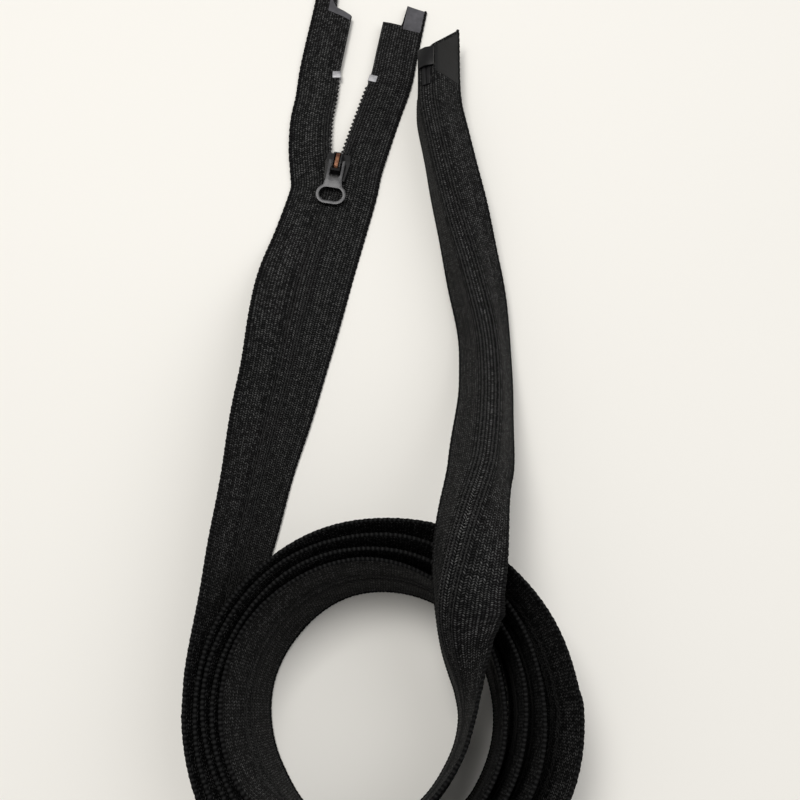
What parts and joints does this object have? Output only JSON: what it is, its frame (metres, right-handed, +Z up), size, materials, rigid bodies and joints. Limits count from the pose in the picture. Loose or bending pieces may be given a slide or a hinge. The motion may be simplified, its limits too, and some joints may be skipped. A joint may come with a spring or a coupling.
{
  "type": "open-end zipper",
  "caption": "Black open-end nylon coil zipper, reverse side up, partly open at the slider and wound in a standing coil with two loose ends.",
  "frame": {"origin": "centre of the bounding box's bottom face, on the surface the zipper lies on", "axes": "+Z up from that surface, +Y along the loose ends towards the slider end, +X to the right of the slider seen from above"},
  "size_m": [0.1064, 0.328, 0.0512],
  "materials": {
    "tape": "woven polyester",
    "coil": "nylon monofilament",
    "cord": "twisted cord",
    "thread": "sewing thread",
    "film": "clear film over tape",
    "stop_metal": "bare",
    "slider_paint": "black enamel",
    "tab_metal": "black nickel",
    "spring_bronze": "phosphor bronze",
    "moulding": "moulded"
  },
  "bodies": {
    "chain": {"insertion_pin": "moulding", "left_coil": "coil", "left_coil_tail": "coil", "left_coil_wound": "coil", "left_cord": "cord", "left_cord_tail": "cord", "left_cord_wound": "cord", "left_end_film": "film", "left_end_tape": "tape", "left_stitching": "thread", "left_stitching_tail": "thread", "left_stitching_wound": "thread", "left_tape": "tape", "left_tape_tail": "tape", "left_tape_wound": "tape", "retainer_box": "moulding", "retainer_pin": "moulding", "right_coil": "coil", "right_coil_tail": "coil", "right_coil_wound": "coil", "right_cord": "cord", "right_cord_tail": "cord", "right_cord_wound": "cord", "right_end_film": "film", "right_end_tape": "tape", "right_stitching": "thread", "right_stitching_tail": "thread", "right_stitching_wound": "thread", "right_tape": "tape", "right_tape_tail": "tape", "right_tape_wound": "tape"},
    "left_leg": {"left_leg_coil": "coil", "left_leg_cord": "cord", "left_leg_stitching": "thread", "left_leg_tape": "tape", "left_top_stop": "stop_metal"},
    "left_tip": {"left_tip_film": "film", "left_tip_tape": "tape"},
    "lock_spring": {"lock_spring": "spring_bronze"},
    "pull_tab": {"pull_tab": "tab_metal"},
    "right_leg": {"right_leg_coil": "coil", "right_leg_cord": "cord", "right_leg_stitching": "thread", "right_leg_tape": "tape", "right_top_stop": "stop_metal"},
    "right_tip": {"right_tip_film": "film", "right_tip_tape": "tape"},
    "slider": {"slider_body": "slider_paint", "slider_crown": "slider_paint"}
  },
  "joints": [
    {"name": "slider_travel", "type": "slide", "parent": "chain", "child": "slider", "axis": [0.165, 0.9863, 0], "range_m": [0, 0.0352], "deforming": ["left_leg_coil", "left_leg_cord", "left_leg_stitching", "left_leg_tape", "right_leg_coil", "right_leg_cord", "right_leg_stitching", "right_leg_tape"]},
    {"name": "tab_hinge", "type": "hinge", "parent": "slider", "child": "pull_tab", "pos_m": [-0.01832, 0.07464, 0.0064], "axis": [-0.9863, 0.165, 0], "range_deg": [0, 180]},
    {"name": "lock_spring_lift", "type": "hinge", "parent": "slider", "child": "lock_spring", "pos_m": [-0.01781, 0.0777, 0.0077], "axis": [-0.9863, 0.165, 0], "range_deg": [0, 4], "stiffness_Nm_per_rad": 0.02},
    {"name": "left_leg_swing", "type": "hinge", "parent": "chain", "child": "left_leg", "pos_m": [-0.01874, 0.07218, 0.0034], "axis": [0, 0, 1], "range_deg": [-8.55, 0], "deforming": ["left_leg_coil", "left_leg_cord", "left_leg_stitching", "left_leg_tape"]},
    {"name": "left_tip_bend", "type": "hinge", "parent": "left_leg", "child": "left_tip", "pos_m": [-0.01841, 0.11817, 0.0034], "axis": [0, 0, 1], "range_deg": [0, 8.15], "deforming": ["left_leg_tape"]},
    {"name": "right_leg_swing", "type": "hinge", "parent": "chain", "child": "right_leg", "pos_m": [-0.01874, 0.07218, 0.0034], "axis": [0, 0, 1], "range_deg": [0, 4.95], "deforming": ["right_leg_coil", "right_leg_cord", "right_leg_stitching", "right_leg_tape"]},
    {"name": "right_tip_bend", "type": "hinge", "parent": "right_leg", "child": "right_tip", "pos_m": [-0.00683, 0.11661, 0.0034], "axis": [0, 0, 1], "range_deg": [-5.05, 0], "deforming": ["right_leg_tape"]}
  ],
  "couplings": [
    {"joint": "left_leg_swing", "follows": "slider_travel", "rad_per_m": -4.2146},
    {"joint": "left_tip_bend", "follows": "slider_travel", "rad_per_m": 4.0162},
    {"joint": "right_leg_swing", "follows": "slider_travel", "rad_per_m": 2.4296},
    {"joint": "right_tip_bend", "follows": "slider_travel", "rad_per_m": -2.4792}
  ]
}
